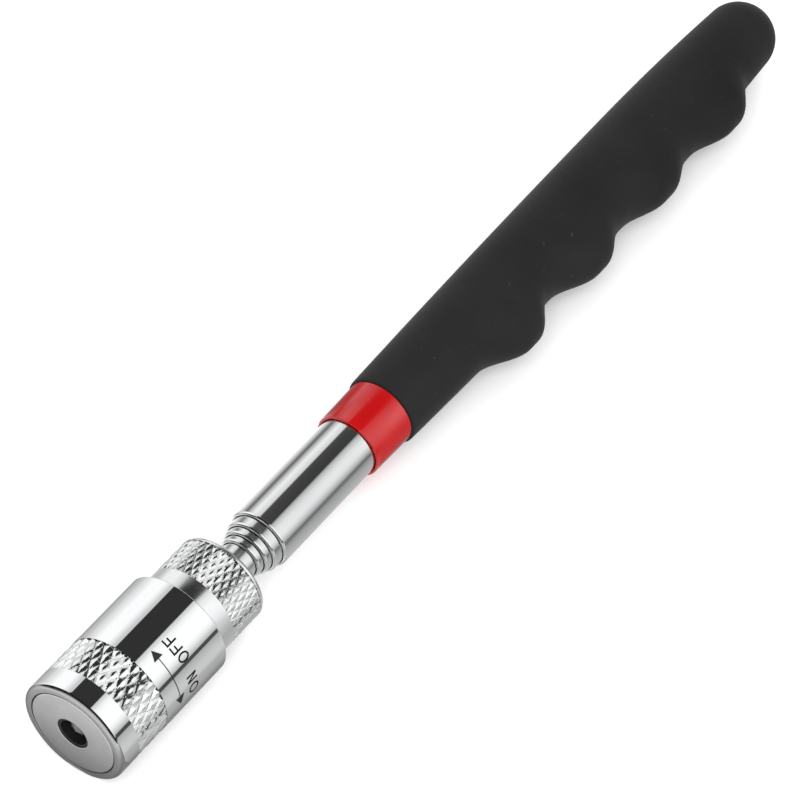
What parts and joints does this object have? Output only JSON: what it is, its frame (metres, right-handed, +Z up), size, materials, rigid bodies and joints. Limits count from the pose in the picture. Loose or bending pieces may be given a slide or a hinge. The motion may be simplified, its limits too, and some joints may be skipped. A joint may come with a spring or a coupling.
{
  "type": "telescoping magnetic pickup tool",
  "caption": "Straight telescoping pickup tool with a lamp in its magnet head, a twist switch, a chrome rod of nested tubes and a finger-ridged rubber grip, lying closed.",
  "frame": {"origin": "centre of the bounding box's underside: the flat floor under the closed tool, which lies on its head", "axes": "+X from the magnet face to the tail, +Z up, and the finger ridges face -Y"},
  "size_m": [0.19, 0.0206, 0.0188],
  "materials": {
    "chrome": "mirror-polished chrome plate",
    "pole_steel": "satin nickel-plated steel",
    "magnet_nickel": "satin nickel-plated magnet",
    "cell_steel": "bright stainless steel",
    "spring_steel": "tinned or zinc-plated steel",
    "brass": "plain turned brass",
    "red_plastic": "glossy red plastic",
    "grip_rubber": "matte black rubber, fine grain",
    "seal_rubber": "smooth black nitrile",
    "black_plastic": "matte black plastic",
    "lamp_clear": "clear epoxy lamp",
    "board_green": "green solder mask",
    "sleeve_card": "pale insulating card"
  },
  "bodies": {
    "handle": {"outer_tube": "chrome", "end_plug": "black_plastic", "red_collar": "red_plastic", "grip": "grip_rubber"},
    "bush_1": {"friction_bush_1": "brass"},
    "section_1": {"rod_section_1": "chrome"},
    "bush_2": {"friction_bush_2": "brass"},
    "section_2": {"rod_section_2": "chrome"},
    "bush_3": {"friction_bush_3": "brass"},
    "section_3": {"rod_section_3": "chrome"},
    "bush_4": {"friction_bush_4": "brass"},
    "section_4": {"rod_section_4": "chrome", "rod_plug": "brass", "neck_screw": "spring_steel", "rear_collar": "chrome", "rear_contact": "brass", "o_ring": "seal_rubber"},
    "battery_pack": {"battery_sleeve": "sleeve_card", "button_cell_1": "cell_steel", "button_cell_2": "cell_steel", "button_cell_3": "cell_steel"},
    "lamp_head": {"head_casing": "chrome", "pole_plate": "pole_steel", "ring_magnet": "magnet_nickel", "back_plate": "pole_steel", "led_sleeve": "black_plastic", "led_lamp": "lamp_clear", "led_lead_anode": "spring_steel", "led_lead_cathode": "spring_steel", "contact_board": "board_green", "led_resistor": "black_plastic", "contact_spring": "spring_steel"}
  },
  "joints": [
    {"name": "section_1_slide", "type": "slide", "parent": "handle", "child": "bush_1", "axis": [-1, 0, 0], "range_m": [0, 0.115]},
    {"name": "section_1_spin", "type": "hinge", "parent": "bush_1", "child": "section_1", "pos_m": [0, 0.00092, 0.0094], "axis": [-1, 0, 0], "continuous": true},
    {"name": "section_2_slide", "type": "slide", "parent": "section_1", "child": "bush_2", "axis": [-1, 0, 0], "range_m": [0, 0.115]},
    {"name": "section_2_spin", "type": "hinge", "parent": "bush_2", "child": "section_2", "pos_m": [0, 0.00092, 0.0094], "axis": [-1, 0, 0], "continuous": true},
    {"name": "section_3_slide", "type": "slide", "parent": "section_2", "child": "bush_3", "axis": [-1, 0, 0], "range_m": [0, 0.115]},
    {"name": "section_3_spin", "type": "hinge", "parent": "bush_3", "child": "section_3", "pos_m": [0, 0.00092, 0.0094], "axis": [-1, 0, 0], "continuous": true},
    {"name": "section_4_slide", "type": "slide", "parent": "section_3", "child": "bush_4", "axis": [-1, 0, 0], "range_m": [0, 0.115]},
    {"name": "section_4_spin", "type": "hinge", "parent": "bush_4", "child": "section_4", "pos_m": [0, 0.00092, 0.0094], "axis": [-1, 0, 0], "continuous": true},
    {"name": "thread_advance", "type": "slide", "parent": "section_4", "child": "battery_pack", "axis": [1, 0, 0], "range_m": [0, 0.0002]},
    {"name": "light_twist", "type": "hinge", "parent": "battery_pack", "child": "lamp_head", "pos_m": [0, 0.00092, 0.0094], "axis": [1, 0, 0], "range_deg": [0, 72]}
  ],
  "couplings": [
    {"joint": "thread_advance", "follows": "light_twist", "m_per_rad": 0.000159}
  ]
}
